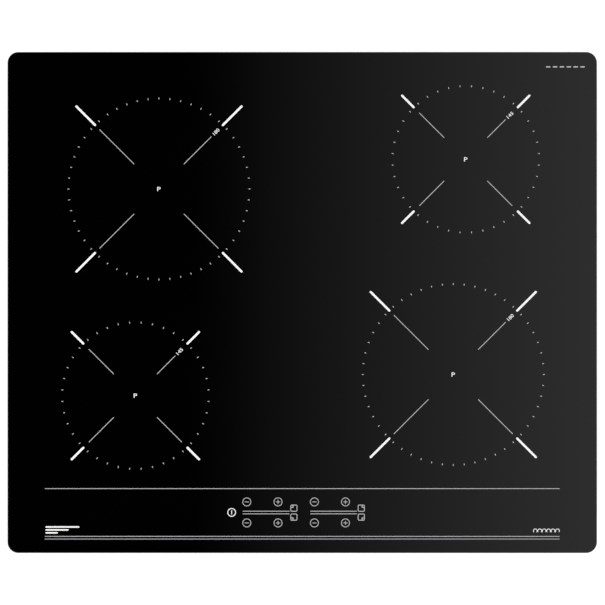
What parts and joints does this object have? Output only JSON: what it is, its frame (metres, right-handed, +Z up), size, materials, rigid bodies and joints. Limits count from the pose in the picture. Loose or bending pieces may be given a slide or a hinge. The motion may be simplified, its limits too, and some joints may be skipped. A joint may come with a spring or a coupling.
{
  "type": "induction hob",
  "caption": "Built-in black glass-ceramic induction hob with round cooking zones, touch keys, a steel tray, sprung coils, a blower and swing clamps.",
  "frame": {"origin": "centre of the plan, in the plane that the tray's feet stand on", "axes": "+X to the user's right, +Y to the back of the hob, +Z up out of the glass"},
  "size_m": [0.6, 0.51, 0.055],
  "materials": {
    "glass": "polished black glass-ceramic",
    "foam": "closed-cell foam, matt",
    "silicone": "cured silicone, satin",
    "frame_steel": "zinc-plated sheet",
    "tray_steel": "galvanised sheet, fine spangle",
    "zinc_screw": "zinc-plated",
    "black_plastic": "moulded, fine texture",
    "duct_plastic": "moulded, fine texture",
    "block_plastic": "moulded polyamide",
    "deck_aluminium": "mill finish sheet",
    "sink_aluminium": "extruded, mill finish",
    "board_laminate": "solder-masked laminate",
    "nylon": "moulded polyamide",
    "epoxy": "moulded epoxy",
    "capacitor_plastic": "moulded film-capacitor box",
    "choke_enamel": "enamelled copper over a coated core",
    "relay_plastic": "moulded",
    "motor_steel": "laminated and lacquered",
    "display_plastic": "moulded display block",
    "spring_steel": "spring wire",
    "wire_silicone": "silicone-insulated wire",
    "ribbon_plastic": "ribbon cable",
    "carrier_plastic": "glass-filled moulding",
    "winding_copper": "enamelled copper strands",
    "ferrite": "pressed and sintered",
    "mica": "mica sheet"
  },
  "bodies": {
    "root": {"air_duct": "duct_plastic", "base_tray": "tray_steel", "blower_cover": "black_plastic", "blower_housing": "black_plastic", "blower_motor": "motor_steel", "board_standoffs": "nylon", "bond_bead": "silicone", "cable_clamp": "black_plastic", "case_screws": "zinc_screw", "coil_deck": "deck_aluminium", "coil_springs_front_left": "spring_steel", "coil_springs_front_right": "spring_steel", "coil_springs_rear_left": "spring_steel", "coil_springs_rear_right": "spring_steel", "control_cable": "ribbon_plastic", "film_capacitors": "capacitor_plastic", "filter_chokes": "choke_enamel", "glass_top": "glass", "heatsinks": "sink_aluminium", "internal_wiring": "wire_silicone", "power_boards": "board_laminate", "power_transistors": "epoxy", "relays": "relay_plastic", "rivet_nuts": "zinc_screw", "support_frame": "frame_steel", "temperature_sensors": "silicone", "terminal_block": "block_plastic", "terminal_housing": "black_plastic", "terminal_screws": "zinc_screw", "touch_board": "board_laminate", "touch_holder": "black_plastic", "touch_springs": "spring_steel", "worktop_gasket": "foam", "zone_displays": "display_plastic"},
    "clamp_screw_rear_left": {"clamp_screw_rear_left": "zinc_screw"},
    "clamp_arm_rear_left": {"clamp_arm_rear_left": "frame_steel"},
    "coil_rear_left": {"coil_carrier_rear_left": "carrier_plastic", "coil_winding_rear_left": "winding_copper", "ferrite_bars_rear_left": "ferrite", "mica_disc_rear_left": "mica"},
    "clamp_screw_rear_right": {"clamp_screw_rear_right": "zinc_screw"},
    "clamp_arm_rear_right": {"clamp_arm_rear_right": "frame_steel"},
    "coil_rear_right": {"coil_carrier_rear_right": "carrier_plastic", "coil_winding_rear_right": "winding_copper", "ferrite_bars_rear_right": "ferrite", "mica_disc_rear_right": "mica"},
    "clamp_screw_front_left": {"clamp_screw_front_left": "zinc_screw"},
    "clamp_arm_front_left": {"clamp_arm_front_left": "frame_steel"},
    "coil_front_left": {"coil_carrier_front_left": "carrier_plastic", "coil_winding_front_left": "winding_copper", "ferrite_bars_front_left": "ferrite", "mica_disc_front_left": "mica"},
    "clamp_screw_front_right": {"clamp_screw_front_right": "zinc_screw"},
    "clamp_arm_front_right": {"clamp_arm_front_right": "frame_steel"},
    "coil_front_right": {"coil_carrier_front_right": "carrier_plastic", "coil_winding_front_right": "winding_copper", "ferrite_bars_front_right": "ferrite", "mica_disc_front_right": "mica"},
    "blower_rotor": {"blower_rotor": "duct_plastic"},
    "terminal_lid": {"terminal_lid": "black_plastic"}
  },
  "joints": [
    {"name": "clamp_lift_rear_left", "type": "slide", "parent": "root", "child": "clamp_screw_rear_left", "axis": [0, 0, 1], "range_m": [0, 0.012]},
    {"name": "clamp_swing_rear_left", "type": "hinge", "parent": "clamp_screw_rear_left", "child": "clamp_arm_rear_left", "pos_m": [-0.2675, 0.132, 0.0059], "axis": [0, 0, 1], "range_deg": [0, 90]},
    {"name": "clamp_lift_rear_right", "type": "slide", "parent": "root", "child": "clamp_screw_rear_right", "axis": [0, 0, 1], "range_m": [0, 0.012]},
    {"name": "clamp_swing_rear_right", "type": "hinge", "parent": "clamp_screw_rear_right", "child": "clamp_arm_rear_right", "pos_m": [0.2675, 0.132, 0.0059], "axis": [0, 0, -1], "range_deg": [0, 90]},
    {"name": "clamp_lift_front_left", "type": "slide", "parent": "root", "child": "clamp_screw_front_left", "axis": [0, 0, 1], "range_m": [0, 0.012]},
    {"name": "clamp_swing_front_left", "type": "hinge", "parent": "clamp_screw_front_left", "child": "clamp_arm_front_left", "pos_m": [-0.2675, -0.132, 0.0059], "axis": [0, 0, -1], "range_deg": [0, 90]},
    {"name": "clamp_lift_front_right", "type": "slide", "parent": "root", "child": "clamp_screw_front_right", "axis": [0, 0, 1], "range_m": [0, 0.012]},
    {"name": "clamp_swing_front_right", "type": "hinge", "parent": "clamp_screw_front_right", "child": "clamp_arm_front_right", "pos_m": [0.2675, -0.132, 0.0059], "axis": [0, 0, 1], "range_deg": [0, 90]},
    {"name": "coil_float_rear_left", "type": "slide", "parent": "root", "child": "coil_rear_left", "axis": [0, 0, 1], "range_m": [-0.0015, 0], "stiffness_N_per_m": 2500, "springref_m": 0.004, "deforming": ["coil_springs_rear_left"]},
    {"name": "coil_float_rear_right", "type": "slide", "parent": "root", "child": "coil_rear_right", "axis": [0, 0, 1], "range_m": [-0.0015, 0], "stiffness_N_per_m": 2500, "springref_m": 0.004, "deforming": ["coil_springs_rear_right"]},
    {"name": "coil_float_front_left", "type": "slide", "parent": "root", "child": "coil_front_left", "axis": [0, 0, 1], "range_m": [-0.0015, 0], "stiffness_N_per_m": 2500, "springref_m": 0.004, "deforming": ["coil_springs_front_left"]},
    {"name": "coil_float_front_right", "type": "slide", "parent": "root", "child": "coil_front_right", "axis": [0, 0, 1], "range_m": [-0.0015, 0], "stiffness_N_per_m": 2500, "springref_m": 0.004, "deforming": ["coil_springs_front_right"]},
    {"name": "blower_spin", "type": "hinge", "parent": "root", "child": "blower_rotor", "pos_m": [0, 0.15, 0.02], "axis": [0, 0, 1], "continuous": true},
    {"name": "terminal_lid_hinge", "type": "hinge", "parent": "root", "child": "terminal_lid", "pos_m": [0.17, 0.1735, 0.0046], "axis": [-1, 0, 0], "range_deg": [0, 95]}
  ]
}
